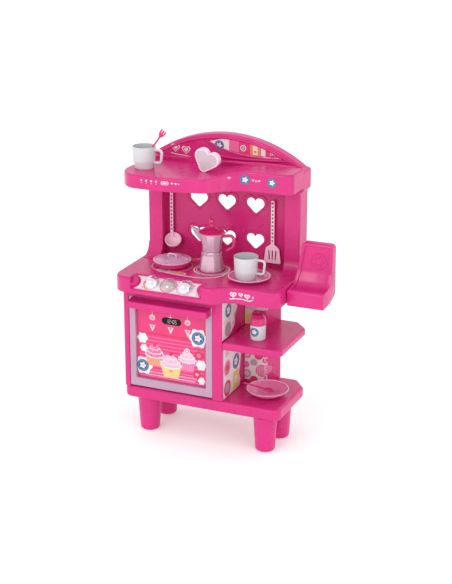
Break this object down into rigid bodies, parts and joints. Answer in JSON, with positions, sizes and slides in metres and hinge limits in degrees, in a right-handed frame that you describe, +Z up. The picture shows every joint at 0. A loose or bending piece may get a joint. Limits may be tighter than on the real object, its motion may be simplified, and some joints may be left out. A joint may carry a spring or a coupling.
{
  "type": "toy kitchen",
  "caption": "Free-standing toy kitchen with a hinged oven door, turning knobs, open shelves, a hood shelf, a heart-pierced back panel, a plug-on doll seat and loose play crockery.",
  "frame": {"origin": "on the floor at the middle of the whole footprint", "axes": "+Z up, +X to the right as a child faces the oven, +Y to the back"},
  "size_m": [0.596, 0.276, 0.8872],
  "materials": {
    "pink_plastic": "glossy moulded plastic",
    "door_plastic": "satin lilac plastic",
    "clear_window": "clear glossy",
    "print": "printed film",
    "display": "black gloss",
    "knob_silver": "metallised plastic",
    "knob_grey": "satin grey plastic",
    "steel": "plain steel",
    "white_plastic": "glossy white plastic",
    "pale_pink_plastic": "satin pale pink plastic",
    "hot_pink_plastic": "glossy deep pink plastic",
    "lilac_translucent": "translucent lilac plastic",
    "pink_translucent": "translucent pink plastic",
    "mould_face": "translucent grey plastic"
  },
  "bodies": {
    "cabinet": {"leg_front_left": "pink_plastic", "leg_front_right": "pink_plastic", "leg_rear_left": "pink_plastic", "leg_rear_right": "pink_plastic", "leg_screws": "steel", "base_board": "pink_plastic", "oven_cabinet": "pink_plastic", "shelf_column": "pink_plastic", "middle_shelf": "pink_plastic", "worktop": "pink_plastic", "back_panel": "pink_plastic", "hood_shelf": "pink_plastic", "utensil_pegs": "pink_plastic"},
    "oven_door": {"door_frame": "door_plastic", "door_hinge_pins": "steel", "door_window": "clear_window", "door_picture": "print", "door_display": "display", "door_handle": "pink_plastic"},
    "knob_l": {"knob_left": "knob_silver", "knob_left_clip": "white_plastic"},
    "knob_c": {"knob_centre": "knob_grey", "knob_centre_clip": "white_plastic"},
    "knob_r": {"knob_right": "knob_silver", "knob_right_clip": "white_plastic"},
    "doll_seat": {"side_seat": "pink_plastic", "side_seat_pegs": "pink_plastic"},
    "saucer": {"saucer": "pink_translucent"},
    "cup": {"cup": "white_plastic"},
    "mug": {"mug": "white_plastic"},
    "fork": {"mug_fork": "hot_pink_plastic"},
    "pan": {"pot": "hot_pink_plastic"},
    "pan_lid": {"pot_lid": "lilac_translucent"},
    "moka_pot": {"moka_base": "lilac_translucent", "moka_top": "lilac_translucent", "moka_handle": "hot_pink_plastic"},
    "moka_lid": {"moka_lid": "hot_pink_plastic"},
    "heart_mould": {"heart_mould_rim": "pale_pink_plastic", "heart_mould_face": "mould_face"},
    "shaker": {"shaker_body": "white_plastic"},
    "shaker_cap": {"shaker_cap": "hot_pink_plastic"},
    "bowl": {"bowl": "pink_translucent"},
    "spoon": {"bowl_spoon": "hot_pink_plastic"},
    "ladle": {"ladle": "pale_pink_plastic"},
    "turner": {"turner": "pale_pink_plastic"}
  },
  "joints": [
    {"name": "oven_door_hinge", "type": "hinge", "parent": "cabinet", "child": "oven_door", "pos_m": [0, -0.092, 0.152], "axis": [1, 0, 0], "range_deg": [0, 90]},
    {"name": "knob_left_turn", "type": "hinge", "parent": "cabinet", "child": "knob_l", "pos_m": [-0.184, -0.11316, 0.46887], "axis": [0, -0.6247, 0.7809], "continuous": true},
    {"name": "knob_centre_turn", "type": "hinge", "parent": "cabinet", "child": "knob_c", "pos_m": [-0.134, -0.11316, 0.46887], "axis": [0, -0.6247, 0.7809], "continuous": true},
    {"name": "knob_right_turn", "type": "hinge", "parent": "cabinet", "child": "knob_r", "pos_m": [-0.083, -0.11316, 0.46887], "axis": [0, -0.6247, 0.7809], "continuous": true},
    {"name": "doll_seat_lift_off", "type": "slide", "parent": "cabinet", "child": "doll_seat", "axis": [1, 0, 0], "range_m": [0, 0.03]},
    {"name": "saucer_lift", "type": "slide", "parent": "cabinet", "child": "saucer", "axis": [0, 0, 1], "range_m": [0, 0.03]},
    {"name": "cup_lift", "type": "slide", "parent": "saucer", "child": "cup", "axis": [0, 0, 1], "range_m": [0, 0.05]},
    {"name": "mug_lift", "type": "slide", "parent": "cabinet", "child": "mug", "axis": [0, 0, 1], "range_m": [0, 0.03]},
    {"name": "fork_pull", "type": "slide", "parent": "mug", "child": "fork", "axis": [0.6033, 0, 0.7975], "range_m": [0, 0.04]},
    {"name": "pan_lift", "type": "slide", "parent": "cabinet", "child": "pan", "axis": [0, 0, 1], "range_m": [0, 0.04]},
    {"name": "pan_lid_lift", "type": "slide", "parent": "pan", "child": "pan_lid", "axis": [0, 0, 1], "range_m": [0, 0.05]},
    {"name": "moka_pot_lift", "type": "slide", "parent": "cabinet", "child": "moka_pot", "axis": [0, 0, 1], "range_m": [0, 0.02]},
    {"name": "moka_lid_hinge", "type": "hinge", "parent": "moka_pot", "child": "moka_lid", "pos_m": [-0.021, 0.017, 0.5978], "axis": [0, 1, 0], "range_deg": [0, 95]},
    {"name": "heart_mould_lift", "type": "slide", "parent": "cabinet", "child": "heart_mould", "axis": [0, 0, 1], "range_m": [0, 0.03]},
    {"name": "shaker_pull_out", "type": "slide", "parent": "cabinet", "child": "shaker", "axis": [0, -1, 0], "range_m": [0, 0.08]},
    {"name": "shaker_cap_lift", "type": "slide", "parent": "shaker", "child": "shaker_cap", "axis": [0, 0, 1], "range_m": [0, 0.02]},
    {"name": "bowl_pull_out", "type": "slide", "parent": "cabinet", "child": "bowl", "axis": [0, -1, 0], "range_m": [0, 0.08]},
    {"name": "spoon_lift", "type": "slide", "parent": "bowl", "child": "spoon", "axis": [0, 0, 1], "range_m": [0, 0.05]},
    {"name": "ladle_unhook", "type": "slide", "parent": "cabinet", "child": "ladle", "axis": [0, -1, 0], "range_m": [0, 0.03]},
    {"name": "turner_unhook", "type": "slide", "parent": "cabinet", "child": "turner", "axis": [0, -1, 0], "range_m": [0, 0.03]}
  ]
}
